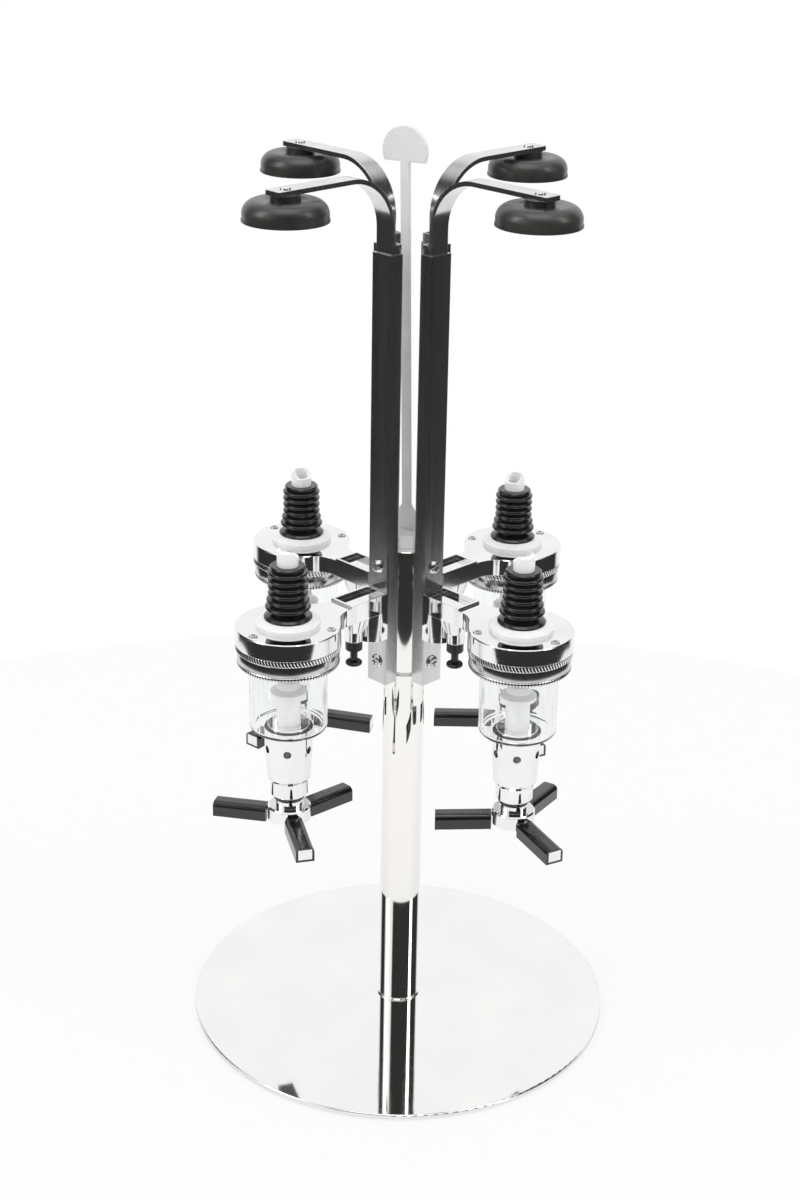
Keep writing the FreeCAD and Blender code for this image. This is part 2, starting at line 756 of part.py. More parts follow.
def make_fasteners():
    zero = as_size(0)
    head = dim.screw_head / 2
    shank = dim.screw_diameter / 2
    reach = dim.channel_depth + dim.screw_grip
    crown = dim.screw_head_height
    channel_screw = turned_screw([
        (zero, -reach),
        (shank, -reach),
        (shank, zero),
        (head, zero),
        (head, crown / 3),
        (head * 0.86, crown * 0.75),
        (head * 0.6, crown),
        (zero, crown),
    ], (crown, dim.recess_width, dim.recess_length, dim.recess_depth))
    bolt_head = dim.bolt_head / 2
    bolt = dim.bolt_diameter / 2
    bracket_bolt = turned_screw([
        (zero, -dim.bolt_head_height),
        (bolt_head, -dim.bolt_head_height),
        (bolt_head, zero),
        (bolt, zero),
        (bolt, dim.channel_wall + dim.bolt_grip),
        (zero, dim.channel_wall + dim.bolt_grip),
    ], None)
    small_head = dim.top_screw_head / 2
    small_shank = dim.top_screw_diameter / 2
    small_crown = dim.top_screw_head_height
    top_screw = turned_screw([
        (zero, -dim.top_screw_length),
        (small_shank, -dim.top_screw_length),
        (small_shank, zero),
        (small_head, zero),
        (small_head * 0.9, small_crown * 0.7),
        (small_head * 0.5, small_crown),
        (zero, small_crown),
    ], (small_crown, dim.recess_width * 0.7, dim.recess_length * 0.6, small_crown * 0.7))
    outward = Rotation(Vector(0, 1, 0), 90)
    solids = []
    for azimuth in STATIONS.values():
        station = Placement(Vector(), Rotation(Vector(0, 0, 1), azimuth))
        for height in (screw_low, screw_high):
            spot = Placement(Vector(channel_face.number, 0, height.number), outward)
            solids.append(channel_screw.transformed(station.multiply(spot).toMatrix()))
        spot = Placement(Vector(web_inside.number, 0, dim.housing_top.number - dim.bolt_drop.number), outward)
        solids.append(bracket_bolt.transformed(station.multiply(spot).toMatrix()))
        for turn in (0, 120, 240):
            angle = math.radians(turn)
            circle = dim.top_screw_circle.number / 2
            spot = Placement(Vector(dim.station_radius.number + circle * math.cos(angle),
                                    circle * math.sin(angle), dim.housing_top.number), Rotation())
            solids.append(top_screw.transformed(station.multiply(spot).toMatrix()))
    feature = doc.addObject("Part::Feature", "rotor_fasteners")
    feature.Label = "rotor_fasteners"
    feature.Shape = Part.makeCompound(solids)
    feature.Placement = Placement()


# Bracket: housing, arm with concave fillets, rims round a sunk panel, root block, knob boss
def make_bracket(name, azimuth):
    body = new_body(name + "_bracket")
    outside = dim.housing_diameter / 2
    roof_low = dim.housing_top - dim.housing_roof
    bore = spout_radius + dim.assembly_gap
    spigot_end = gasket_roof
    spigot_bore = dim.spigot_bore / 2
    revolve(body, [
        (bore, roof_low),
        (bore, dim.housing_top),
        (outside - dim.housing_chamfer, dim.housing_top),
        (outside, dim.housing_top - dim.housing_chamfer),
        (outside, housing_bottom),
        (spigot_radius, housing_bottom),
        (spigot_radius, spigot_end),
        (spigot_bore, spigot_end),
        (spigot_bore, roof_low),
    ])
    root = to_column + channel_face
    half = dim.bracket_width / 2
    fillet = dim.bracket_fillet
    reach = outside + fillet
    fillet_x = -square_root(reach * reach - (half + fillet) * (half + fillet))
    share = outside / reach
    touch_x = fillet_x * share
    touch_y = (half + fillet) * share
    extrude(body, outline([
        (root, -half),
        (fillet_x, -half),
        (touch_x, -touch_y, -fillet),
        (touch_x, touch_y),
        (fillet_x, half, -fillet),
        (root, half),
    ]), dim.housing_height, offset=housing_bottom)
    middle = dim.housing_top - dim.housing_height / 2
    rim_end = root + dim.panel_length
    extrude(body, box_outline(root, rim_end, -half, half),
            dim.rim_rise + dim.housing_height / 2, offset=middle)
    inner = half - dim.rim_width
    extrude(body, box_outline(root + dim.rim_width, rim_end - dim.rim_width, -inner, inner),
            dim.panel_depth, offset=dim.housing_top + dim.rim_rise, cut=True)
    keel_low = dim.housing_top - dim.keel_depth
    keel_end = root + dim.keel_length
    extrude(body, outline([
        (root, -half),
        (keel_end - half, -half),
        (keel_end, 0, half),
        (keel_end - half, half, half),
        (root, half),
    ]), middle - keel_low, offset=keel_low)
    boss_x = to_column + dim.boss_radius_place
    extrude(body, circles([(boss_x, 0)], dim.boss_diameter), middle - boss_end, offset=boss_end)
    extrude(body, circles([(boss_x, 0)], dim.boss_cone), dim.boss_cone_height,
            offset=housing_bottom, flip=True, taper=-BOSS_TAPER)
    extrude(body, circles([(boss_x, 0)], dim.knob_pin + dim.moving_gap * 2),
            dim.knob_pin_length + dim.assembly_gap, offset=boss_end, cut=True, flip=True)
    extrude(body, circles([(0, dim.housing_top - dim.bolt_drop)], dim.bolt_diameter + dim.assembly_gap),
            dim.bolt_grip + dim.assembly_gap, plane="YZ_Plane", offset=root, cut=True, flip=True)
    circle = dim.top_screw_circle / 2
    across = circle * (math.sqrt(3) / 2)
    extrude(body, circles([(circle, 0), (-circle / 2, across), (-circle / 2, -across)],
                          dim.top_screw_diameter + dim.assembly_gap),
            dim.top_screw_length + dim.assembly_gap, offset=dim.housing_top, cut=True)
    seat(body, azimuth, dim.station_radius)


# Retaining rings: union nuts with a knurled band above and a beaded band below
def make_rings_body(body):
    high = housing_bottom - dim.assembly_gap
    outside = dim.housing_diameter / 2
    small = outside - dim.ring_taper
    root_high = outside - dim.knurl_depth
    root_low = small - dim.knurl_depth
    lip = chamber_radius + dim.assembly_gap
    band_low = high - dim.knurl_height
    bead_top = ring_bottom + dim.bead_height
    revolve(body, [
        (lip, ring_bottom),
        (small - dim.knurl_depth, ring_bottom),
        (small, ring_bottom + dim.bead_height / 2),
        (root_low, bead_top),
        (root_high, band_low),
        (outside, band_low + dim.knurl_depth),
        (outside, high - dim.knurl_depth),
        (root_high, high),
        (thread_bore, high),
        (thread_bore, flange_floor),
        (lip, flange_floor),
    ])
    tooth = dim.knurl_depth
    cutter = extrude(body, outline([
        (outside + tooth, -tooth),
        (outside + tooth, tooth),
        (outside - tooth, 0),
    ]), dim.knurl_height + dim.assembly_gap, offset=high + dim.assembly_gap / 2, cut=True)
    pattern(body, [cutter], dim.knurl_teeth)


# Chambers: clear measuring cups hung by their flange
def make_chambers_body(body):
    rounding = dim.chamber_round
    flange = spigot_radius
    inner_round = rounding - dim.chamber_wall
    hole = neck_radius + dim.assembly_gap
    revolve(body, [
        (hole, chamber_bottom),
        (chamber_radius - rounding, chamber_bottom),
        (chamber_radius, chamber_bottom + rounding, rounding),
        (chamber_radius, flange_floor),
        (flange, flange_floor),
        (flange, flange_roof),
        (chamber_bore, flange_roof),
        (chamber_bore, chamber_floor + inner_round),
        (chamber_bore - inner_round, chamber_floor, -inner_round),
        (hole, chamber_floor),
    ])


def make_gaskets_body(body):
    revolve(body, [
        (dim.spigot_bore / 2, flange_roof),
        (spigot_radius, flange_roof),
        (spigot_radius, gasket_roof),
        (dim.spigot_bore / 2, gasket_roof),
    ])


# Pour spout: disc on the housing, tube through the stopper, slanted tip
def make_spouts_body(body):
    disc = dim.disc_diameter / 2
    edge_top = dim.housing_top + dim.disc_edge
    bore = dim.spout_bore / 2
    tail = dim.housing_top - dim.spout_tail
    tip = dim.spout_bore / 8
    revolve(body, [
        (bore, tail),
        (spout_radius, tail),
        (spout_radius, dim.housing_top),
        (disc, dim.housing_top),
        (disc, edge_top - dim.disc_round),
        (disc - dim.disc_round, edge_top, dim.disc_round),
        (dim.stopper_flange / 2, disc_top),
        (spout_radius, disc_top),
        (spout_radius, spout_top - tip),
        (spout_radius - tip, spout_top),
        (bore, spout_top),
    ])
    extrude(body, outline([
        (-dim.spout_diameter, spout_top - dim.spout_notch),
        (-spout_radius / 3, spout_top - dim.spout_notch),
        (spout_radius / 3, spout_top + dim.assembly_gap),
        (-dim.spout_diameter, spout_top + dim.assembly_gap),
    ]), dim.spout_diameter * 2, plane="XZ_Plane", cut=True, symmetric=True)


# Stopper: flared foot, neck, six ribs that taper, collar
def make_stoppers_body(body):
    bore = spout_radius + dim.assembly_gap
    top = disc_top + dim.stopper_height
    neck = dim.stopper_neck / 2
    points = [
        (bore, disc_top),
        (dim.stopper_flange / 2, disc_top),
        (dim.stopper_flange / 2, disc_top + dim.stopper_flange_height / 4),
        (neck + dim.rib_depth, disc_top + dim.stopper_flange_height),
        (neck, disc_top + dim.stopper_flange_height * 1.1),
    ]
    quarter = dim.rib_pitch / 4
    widths = [dim.rib_low, (dim.rib_low + dim.rib_high) / 2] + [dim.rib_high] * 4
    for number, width in enumerate(widths):
        height = disc_top + dim.first_rib + dim.rib_pitch * number
        rib = width / 2
        points.append((rib - dim.rib_depth, height - quarter * 1.6))
        points.append((rib, height - quarter / 2))
        points.append((rib, height + quarter / 2))
        points.append((rib - dim.rib_depth, height + quarter * 1.6))
    points.append((dim.rib_high / 2 - dim.rib_depth / 2, top - quarter))
    points.append((dim.rib_high / 2 - dim.rib_depth, top))
    points.append((bore, top))
    revolve(body, points)


def make_station_group(label, make):
    """Four equal solids of one kind, one at each station."""
    solids = []
    master = new_body(label + "_master")
    make(master)
    doc.recompute()
    for azimuth in STATIONS.values():
        copy = doc.addObject("Part::Feature", f"{label}_{azimuth}")
        copy.Shape = master.Shape.copy()
        angle = math.radians(azimuth)
        radius = dim.station_radius.number
        copy.Placement = Placement(Vector(radius * math.cos(angle), radius * math.sin(angle), 0),
                                   Rotation(Vector(0, 0, 1), azimuth))
        copy.setExpression("Placement.Base.x", f"{dim.station_radius.formula} * cos({azimuth} deg)")
        copy.setExpression("Placement.Base.y", f"{dim.station_radius.formula} * sin({azimuth} deg)")
        solids.append(copy)
    group = doc.addObject("Part::Compound", label)
    group.Label = label
    group.Links = solids
    doc.recompute()


# Outlet: chrome body under the chamber, vented, with the spring's cavity inside
def make_outlet(name, azimuth):
    body = new_body(name + "_outlet")
    top = chamber_floor + dim.outlet_neck_height
    guide = plunger_radius + dim.moving_gap
    cavity = dim.cavity_diameter / 2
    waist = dim.outlet_waist / 2
    end = dim.outlet_end / 2
    step = chamber_bottom - dim.outlet_step
    lip = (end - cavity) / 2
    revolve(body, [
        (guide, top),
        (neck_radius, top),
        (neck_radius, chamber_bottom),
        (dim.outlet_top / 2, chamber_bottom),
        (dim.outlet_top / 2, chamber_bottom - dim.vent_drop),
        (waist, step + lip),
        (end, step - (waist - end)),
        (end, outlet_mouth + lip),
        (end - lip, outlet_mouth),
        (cavity, outlet_mouth),
        (cavity, cavity_top),
        (guide, cavity_top),
    ])
    vent = extrude(body, circles([(0, chamber_bottom - dim.vent_drop)], dim.vent_diameter),
                   dim.outlet_top / 2 - guide + dim.assembly_gap * 2, plane="YZ_Plane",
                   offset=dim.outlet_top / 2 + dim.assembly_gap, cut=True)
    pattern(body, [vent], dim.vent_count)
    seat(body, azimuth, dim.station_radius, turn=OUTLET_TURN - azimuth)


# Plunger: white tube with a flanged valve head
def make_plunger(name, azimuth):
    body = new_body(name + "_plunger")
    bore = dim.plunger_bore / 2
    head = dim.plunger_head / 2
    top = collar_top + dim.plunger_length
    head_low = top - dim.plunger_head / 2
    rim = dim.plunger_head / 10
    revolve(body, [
        (bore, collar_top),
        (plunger_radius, collar_top),
        (plunger_radius, head_low),
        (head, head_low),
        (head, head_low + rim),
        (plunger_radius, head_low + rim * 2),
        (plunger_radius * 0.9, top - rim),
        (plunger_radius * 0.7, top),
        (bore * 0.7, top),
        (bore * 0.7, head_low),
        (bore, head_low - rim),
    ])
    seat(body, azimuth, dim.station_radius)


# A bar along a drooping lever arm, seen from its side
def lever_bar(half, start, end):
    slope = dim.arm_droop / (dim.arm_length - lever_arm_root)
    start_height = lever_arm_height - (start - lever_arm_root) * slope
    end_height = lever_arm_height - (end - lever_arm_root) * slope
    return outline([
        (start, start_height - half),
        (end, end_height - half),
        (end, end_height + half),
        (start, start_height + half),
    ])


# Lever: collared stem, hub and three flat arms that droop a little
def make_lever(name, azimuth, turn):
    body = new_body(name + "_lever")
    bore = dim.pour_bore / 2
    stem = dim.stem_diameter / 2
    collar = dim.collar_diameter / 2
    hub = dim.lever_hub_diameter / 2
    edge = dim.lever_hub_height / 12
    revolve(body, [
        (bore, lever_hub_bottom),
        (hub - edge * 3, lever_hub_bottom),
        (hub, lever_hub_bottom + edge * 2),
        (hub, lever_hub_top - edge),
        (hub - edge, lever_hub_top),
        (stem, lever_hub_top),
        (stem, collar_top - dim.collar_height),
        (collar, collar_top - dim.collar_height),
        (collar, collar_top),
        (bore, collar_top),
    ])
    arm = extrude(body, lever_bar(dim.arm_height / 2, lever_arm_root, dim.arm_length), dim.arm_width,
                  plane="XZ_Plane", symmetric=True)
    pattern(body, [arm], 3)
    seat(body, azimuth, dim.station_radius, turn=turn)


# Lever rubbers: three sleeves and the ring on the stem
def make_lever_rubbers(name, azimuth, turn):
    body = new_body(name + "_lever_rubbers")
    start = dim.lever_hub_diameter / 2 + dim.moving_gap
    end = dim.arm_length - dim.assembly_gap
    half = dim.arm_height / 2
    extrude(body, lever_bar(half + dim.sleeve_wall, start, end), dim.arm_width + dim.sleeve_wall * 2,
            plane="XZ_Plane", symmetric=True)
    low_edges = lever_arm_height.number - dim.arm_droop.number / 2

    def upper_long(edge):
        box = edge.BoundBox
        return box.XLength > dim.arm_length.number / 2 and box.ZMax > low_edges

    soften(body, dim.sleeve_round, upper_long)
    margin = dim.assembly_gap
    extrude(body, lever_bar(half + margin / 2, start - margin, end + margin), dim.arm_width + margin,
            plane="XZ_Plane", symmetric=True, cut=True)
    pattern(body, [], 3, whole=True)
    ring_low = outlet_mouth - dim.seal_height
    stem = dim.stem_diameter / 2
    ring = dim.seal_diameter / 2
    bulge = dim.seal_height / 4
    revolve(body, [
        (stem, ring_low),
        (ring - bulge / 2, ring_low),
        (ring, ring_low + bulge),
        (ring, outlet_mouth - bulge),
        (ring - bulge / 2, outlet_mouth),
        (stem, outlet_mouth),
    ])
    seat(body, azimuth, dim.station_radius, turn=turn)


# Springs: eight-sided wire swept along a helix
def coil(label, wire, mean, low, high, turns):
    length = high - low - wire
    start = Vector(mean / 2, 0, low + wire / 2)
    helix = Part.makeHelix(length / turns, length, mean / 2)
    helix.translate(Vector(0, 0, start.z))
    corners = []
    for side in range(8):
        angle = math.radians(45 * side + 22.5)
        corners.append(start + Vector(math.cos(angle), 0, math.sin(angle)) * (wire / 2))
    section = Part.makePolygon(corners + [corners[0]])
    feature = doc.addObject("Part::Feature", label)
    feature.Label = label
    feature.Shape = Part.Wire(helix).makePipeShell([section], True, True)
    return feature


def make_lever_spring(name, azimuth):
    low = collar_top + dim.assembly_gap
    high = cavity_top - dim.assembly_gap
    spring = coil(name + "_lever_spring", dim.lever_wire.number, dim.lever_coil.number,
                  low.number, high.number, dim.lever_coil_turns.number)
    seat(spring, azimuth, dim.station_radius)


def make_arm_spring(name, azimuth):
    low = screw_high + dim.screw_diameter / 2 + dim.moving_gap
    high = bar_low_end - dim.moving_gap
    spring = coil(name + "_arm_spring", dim.arm_wire.number, dim.arm_coil.number,
                  low.number, high.number, dim.arm_coil_turns.number)
    seat(spring, azimuth, channel_back + dim.channel_depth / 2)


# Bottle arm: a flat bar, bent over, with a rivet head above the cup
def make_bottle_arm(name, azimuth):
    body = new_body(name + "_bottle_arm")
    bend = dim.bar_bend
    inner_bend = bend - dim.bar_thickness
    tip = dim.station_radius + dim.bar_end
    run_low = bar_top - dim.bar_thickness
    bend_low = bar_top - bend
    extrude(body, outline([
        (bar_inside, bar_low_end),
        (bar_outside, bar_low_end),
        (bar_outside, bend_low),
        (bar_inside + bend, run_low, -inner_bend),
        (tip, run_low),
        (tip, bar_top),
        (bar_inside + bend, bar_top),
        (bar_inside, bend_low, bend),
    ]), dim.bar_width, plane="XZ_Plane", symmetric=True)
    corner = dim.bar_thickness / 2

    def tip_corner(edge):
        return edge.BoundBox.XMin > tip.number - 0.1 and edge.BoundBox.ZLength > corner.number

    soften(body, corner, tip_corner, chamfer=True)
    rivet = dim.rivet_diameter
    extrude(body, circles([(dim.station_radius, 0)], rivet), dim.rivet_height, offset=bar_top)
    crown = bar_top.number + dim.rivet_height.number
    soften(body, dim.rivet_height * 0.6, lambda edge: edge.BoundBox.ZMin > crown - 0.01)
    seat(body, azimuth)


# Bottle cup: hollow rubber dome with a lip and a boss under the arm
def make_bottle_cup(name, azimuth):
    body = new_body(name + "_bottle_cup")
    rim = dim.cup_diameter / 2
    side = rim - dim.cup_lip_width
    wall = dim.cup_wall
    crease = dim.cup_crease / 2
    neck = dim.cup_neck / 2
    dome = dim.cup_height - dim.cup_side
    dome_low = cup_rim + dim.cup_side
    ceiling = dome_top - wall
    revolve(body, [
        (0, cup_top),
        (0, ceiling),
        (side - dome, ceiling),
        (side - wall, dome_low, wall - dome),
        (side - wall, cup_rim),
        (rim, cup_rim),
        (rim, cup_rim + dim.cup_lip),
        (side, cup_rim + dim.cup_lip),
        (side, dome_low),
        (side - dome, dome_top, dome),
        (crease, dome_top),
        (neck, dome_top - dim.cup_dip),
        (neck, cup_top),
    ])
    seat(body, azimuth, dim.station_radius)


# Release knob: pin, collar, neck and disc
def make_release_knob(name, azimuth):
    body = new_body(name + "_release_knob")
    collar_high = boss_end - dim.assembly_gap * 2
    collar_low = collar_high - dim.knob_collar_height
    disc_high = collar_low - dim.knob_neck_height
    disc_low = disc_high - dim.knob_disc_height
    edge = dim.knob_disc_height / 4
    collar = dim.knob_collar / 2
    disc = dim.knob_disc / 2
    neck = dim.knob_neck / 2
    pin = dim.knob_pin / 2
    pin_top = boss_end + dim.knob_pin_length - dim.assembly_gap * 2
    revolve(body, [
        (0, disc_low),
        (disc - edge, disc_low),
        (disc, disc_low + edge),
        (disc, disc_high - edge),
        (disc - edge, disc_high),
        (neck, disc_high),
        (neck, collar_low),
        (collar - edge, collar_low),
        (collar, collar_low + edge),
        (collar, collar_high),
        (pin, collar_high),
        (pin, pin_top),
        (0, pin_top),
    ])
    seat(body, azimuth, dim.boss_radius_place)


def make_all():
    make_base_plate()
    make_rubber_feet()
    make_column()
    make_spindle()
    make_axle_fasteners()
    make_bearing_rings()
    make_rotor_hub()
    make_hub_cap()
    make_lift_handle()
    make_channel_liners()
    make_fasteners()
    make_station_group("pour_spouts", make_spouts_body)
    make_station_group("stoppers", make_stoppers_body)
    make_station_group("retaining_rings", make_rings_body)
    make_station_group("chambers", make_chambers_body)
    make_station_group("chamber_gaskets", make_gaskets_body)
    for name, azimuth in STATIONS.items():
        turn = LEVER_TURNS[name]
        make_channel(name, azimuth)
        make_bracket(name, azimuth)
        make_outlet(name, azimuth)
        make_plunger(name, azimuth)
        make_lever(name, azimuth, turn)
        make_lever_rubbers(name, azimuth, turn)
        make_lever_spring(name, azimuth)
        make_arm_spring(name, azimuth)
        make_bottle_arm(name, azimuth)
        make_bottle_cup(name, azimuth)
        make_release_knob(name, azimuth)


make_all()
doc.recompute()

# Every label below becomes one file
LABELS = [
    "base_plate", "rubber_feet", "column", "spindle", "axle_fasteners", "bearing_rings",
    "rotor_hub", "hub_cap", "lift_handle", "channel_liners", "rotor_fasteners",
    "pour_spouts", "stoppers", "retaining_rings", "chambers", "chamber_gaskets",
]
KINDS = [
    "channel", "bracket", "outlet", "plunger", "lever", "lever_rubbers", "lever_spring",
    "arm_spring", "bottle_arm", "bottle_cup", "release_knob",
]
for station in STATIONS:
    LABELS.extend(f"{station}_{kind}" for kind in KINDS)

for item in doc.Objects:
    if "Invalid" in item.State or "Error" in item.State:
        raise RuntimeError(f"{item.Label}: {item.State}")

os.makedirs("parts", exist_ok=True)
for label in LABELS:
    item = doc.getObjectsByLabel(label)[0]
    shape = item.Shape
    if shape.isNull() or not shape.isValid():
        raise RuntimeError(f"{label}: the shape is not valid")
    shape.exportStep(f"parts/{label}.step")
    print(label, len(shape.Solids), round(shape.Volume, 1))
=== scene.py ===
import json
import math

import bmesh
import bpy
from mathutils import Matrix, Vector


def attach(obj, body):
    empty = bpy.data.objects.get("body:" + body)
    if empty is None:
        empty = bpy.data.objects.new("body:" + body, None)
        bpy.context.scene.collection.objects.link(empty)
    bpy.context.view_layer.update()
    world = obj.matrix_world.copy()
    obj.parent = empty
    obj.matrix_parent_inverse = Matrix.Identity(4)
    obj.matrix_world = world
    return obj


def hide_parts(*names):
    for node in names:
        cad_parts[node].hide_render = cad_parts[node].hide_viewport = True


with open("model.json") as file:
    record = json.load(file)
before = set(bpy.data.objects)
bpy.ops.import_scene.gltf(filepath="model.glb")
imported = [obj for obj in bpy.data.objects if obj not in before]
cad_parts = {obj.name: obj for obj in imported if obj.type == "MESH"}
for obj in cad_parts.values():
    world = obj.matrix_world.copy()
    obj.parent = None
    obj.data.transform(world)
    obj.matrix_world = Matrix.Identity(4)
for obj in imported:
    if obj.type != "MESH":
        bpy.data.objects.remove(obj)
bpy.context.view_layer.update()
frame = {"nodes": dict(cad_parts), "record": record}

nodes = frame["nodes"]

# Places that the turned pieces share; all lengths are in metres
MILLIMETRE = 0.001
STATION_AZIMUTHS = (45, 135, 225, 315)
STATION_RADIUS = 0.1065
# What keeps a turned piece just inside the box of the solid that it stands for
MARGIN = 0.01 * MILLIMETRE
SMOOTH_ANGLE = math.radians(38)


# Node helpers
RAMP_STOPS = (0.3, 0.7)


def grey(value):
    return (value, value, value)


def new_material(name):
    material = bpy.data.materials.new(name)
    material.use_nodes = True
    tree = material.node_tree
    return material, tree, tree.nodes["Principled BSDF"]


def noise(tree, scale, detail, roughness=0.5, stretch=(1.0, 1.0, 1.0)):
    """Noise in the object's own space, in metres, stretched along an axis if wanted."""
    place = tree.nodes.new("ShaderNodeTexCoord")
    mapping = tree.nodes.new("ShaderNodeMapping")
    mapping.inputs["Scale"].default_value = stretch
    tree.links.new(place.outputs["Object"], mapping.inputs["Vector"])
    texture = tree.nodes.new("ShaderNodeTexNoise")
    texture.inputs["Scale"].default_value = scale
    texture.inputs["Detail"].default_value = detail
    texture.inputs["Roughness"].default_value = roughness
    tree.links.new(mapping.outputs["Vector"], texture.inputs["Vector"])
    return texture.outputs["Fac"]


def ramp(tree, source, dark, light):
    """A colour between dark and light, chosen by a value."""
    node = tree.nodes.new("ShaderNodeValToRGB")
    for element, position, colour in zip(node.color_ramp.elements, RAMP_STOPS, (dark, light)):
        element.position = position
        element.color = (*colour, 1.0)
    tree.links.new(source, node.inputs["Fac"])
    return node.outputs["Color"]


def spread(tree, source, low, high):
    """Maps a 0..1 value to low..high."""
    node = tree.nodes.new("ShaderNodeMapRange")
    node.inputs["To Min"].default_value = low
    node.inputs["To Max"].default_value = high
    tree.links.new(source, node.inputs["Value"])
    return node.outputs["Result"]


def fade(tree, source, dark_at, bright_at):
    """A soft step from 0 at dark_at to 1 at bright_at, whichever of them is the larger."""
    node = tree.nodes.new("ShaderNodeMapRange")
    node.interpolation_type = "SMOOTHSTEP"
    node.inputs["From Min"].default_value = dark_at
    node.inputs["From Max"].default_value = bright_at
    tree.links.new(source, node.inputs["Value"])
    return node.outputs["Result"]


def combine(tree, operation, first, second):
    node = tree.nodes.new("ShaderNodeMath")
    node.operation = operation
    tree.links.new(first, node.inputs[0])
    tree.links.new(second, node.inputs[1])
    return node.outputs["Value"]


def mix_shaders(tree, share, first, second):
    """The first shader where share is 0 and the second where it is 1."""
    node = tree.nodes.new("ShaderNodeMixShader")
    tree.links.new(share, node.inputs["Fac"])
    tree.links.new(first, node.inputs[1])
    tree.links.new(second, node.inputs[2])
    return node.outputs["Shader"]


def bump(tree, shader, source, strength, distance, edge_round=0.0):
    """Fine relief; edge_round, in metres, also softens the shading of sharp edges."""
    node = tree.nodes.new("ShaderNodeBump")
    node.inputs["Strength"].default_value = strength
    node.inputs["Distance"].default_value = distance
    tree.links.new(source, node.inputs["Height"])
    if edge_round:
        edge = tree.nodes.new("ShaderNodeBevel")
        edge.samples = 4
        edge.inputs["Radius"].default_value = edge_round
        tree.links.new(edge.outputs["Normal"], node.inputs["Normal"])
    tree.links.new(node.outputs["Normal"], shader.inputs["Normal"])


# Kinds of material
RELIEF_DEPTH = 0.1 * MILLIMETRE
EDGE_ROUND = 0.4 * MILLIMETRE
COAT_ROUGHNESS = 0.15
# How far light goes into white plastic
GLOW_DEPTH = 4 * MILLIMETRE
# How many times coarser the colour's pattern is than that of the gloss and the relief
COLOUR_COARSENESS = 8


def vary(tree, shader, dark, light, rough, grain, stretch):
    """Lets colour and gloss vary a little over the surface; gives back the fine pattern."""
    broad = noise(tree, grain / COLOUR_COARSENESS, detail=2.0, stretch=stretch)
    fine = noise(tree, grain, detail=4.0, roughness=0.6, stretch=stretch)
    tree.links.new(ramp(tree, broad, dark, light), shader.inputs["Base Color"])
    tree.links.new(spread(tree, fine, *rough), shader.inputs["Roughness"])
    return fine


def make_metal(name, dark, light, rough, grain, stretch=(1, 1, 1), relief=0.02, edge_round=EDGE_ROUND):
    """Plated or brushed metal; rough is the range of its roughness."""
    material, tree, shader = new_material(name)
    shader.inputs["Metallic"].default_value = 1.0
    fine = vary(tree, shader, dark, light, rough, grain, stretch)
    bump(tree, shader, fine, relief, RELIEF_DEPTH, edge_round)
    return material


def make_plastic(name, dark, light, rough, grain, coat=0.0, subsurface=0.0, relief=0.05):
    """Plastic or rubber; rough is the range of its roughness."""
    material, tree, shader = new_material(name)
    fine = vary(tree, shader, dark, light, rough, grain, (1, 1, 1))
    shader.inputs["Coat Weight"].default_value = coat
    shader.inputs["Coat Roughness"].default_value = COAT_ROUGHNESS
    shader.inputs["Subsurface Weight"].default_value = subsurface
    shader.inputs["Subsurface Radius"].default_value = grey(GLOW_DEPTH)
    bump(tree, shader, fine, relief, RELIEF_DEPTH)
    return material


def make_clear(name):
    """Clear plastic; light for what stands inside passes straight through."""
    material, tree, shader = new_material(name)
    shader.inputs["Base Color"].default_value = (0.97, 0.98, 0.98, 1.0)
    shader.inputs["Transmission Weight"].default_value = 1.0
    shader.inputs["IOR"].default_value = 1.38
    fine = noise(tree, 220.0, detail=2.0)
    tree.links.new(spread(tree, fine, 0.0, 0.035), shader.inputs["Roughness"])
    bump(tree, shader, fine, strength=0.03, distance=2 * RELIEF_DEPTH)
    paths = tree.nodes.new("ShaderNodeLightPath")
    through = combine(tree, "MAXIMUM", paths.outputs["Is Shadow Ray"], paths.outputs["Is Diffuse Ray"])
    open_way = tree.nodes.new("ShaderNodeBsdfTransparent")
    surface = mix_shaders(tree, through, shader.outputs["BSDF"], open_way.outputs["BSDF"])
    tree.links.new(surface, tree.nodes["Material Output"].inputs["Surface"])
    return material


# Metals
mirror = make_metal("mirror_chrome", grey(0.90), (0.94, 0.94, 0.93), rough=(0.02, 0.06), grain=160.0,
                    relief=0.01)
cast = make_metal("cast_chrome", grey(0.86), grey(0.92), rough=(0.03, 0.08), grain=240.0, relief=0.03)
warm_chrome = make_metal("warm_chrome", (0.93, 0.915, 0.875), (0.96, 0.95, 0.92), rough=(0.02, 0.06),
                         grain=200.0, stretch=(1, 1, 0.1), relief=0.01)
ring_chrome = make_metal("ring_chrome", grey(0.88), grey(0.94), rough=(0.02, 0.07), grain=300.0,
                         edge_round=0.0)
satin_chrome = make_metal("satin_chrome", grey(0.50), grey(0.72), rough=(0.10, 0.22), grain=700.0,
                          stretch=(1, 1, 0.1), relief=0.05)
# Near-black metal that paints shade into the grooves of the knurl and between the beads
painted_shade_groove = make_metal("painted_shade_groove", grey(0.02), grey(0.06), rough=(0.30, 0.45), grain=700.0,
                          edge_round=0.0)
arm_metal = make_metal("arm_chrome", (0.66, 0.66, 0.67), (0.78, 0.78, 0.79), rough=(0.10, 0.24),
                       grain=500.0, stretch=(1, 1, 0.15), relief=0.05)
channel_metal = make_metal("channel_metal", (0.56, 0.56, 0.57), (0.74, 0.74, 0.75), rough=(0.10, 0.26),
                           grain=900.0, stretch=(1, 1, 0.02), relief=0.14)
liner_metal = make_metal("bright_liner", (0.80, 0.80, 0.81), (0.88, 0.88, 0.89), rough=(0.08, 0.16),
                         grain=500.0, stretch=(1, 1, 0.05), relief=0.04)
plain_steel = make_metal("plain_steel", grey(0.58), grey(0.70), rough=(0.14, 0.26), grain=600.0)
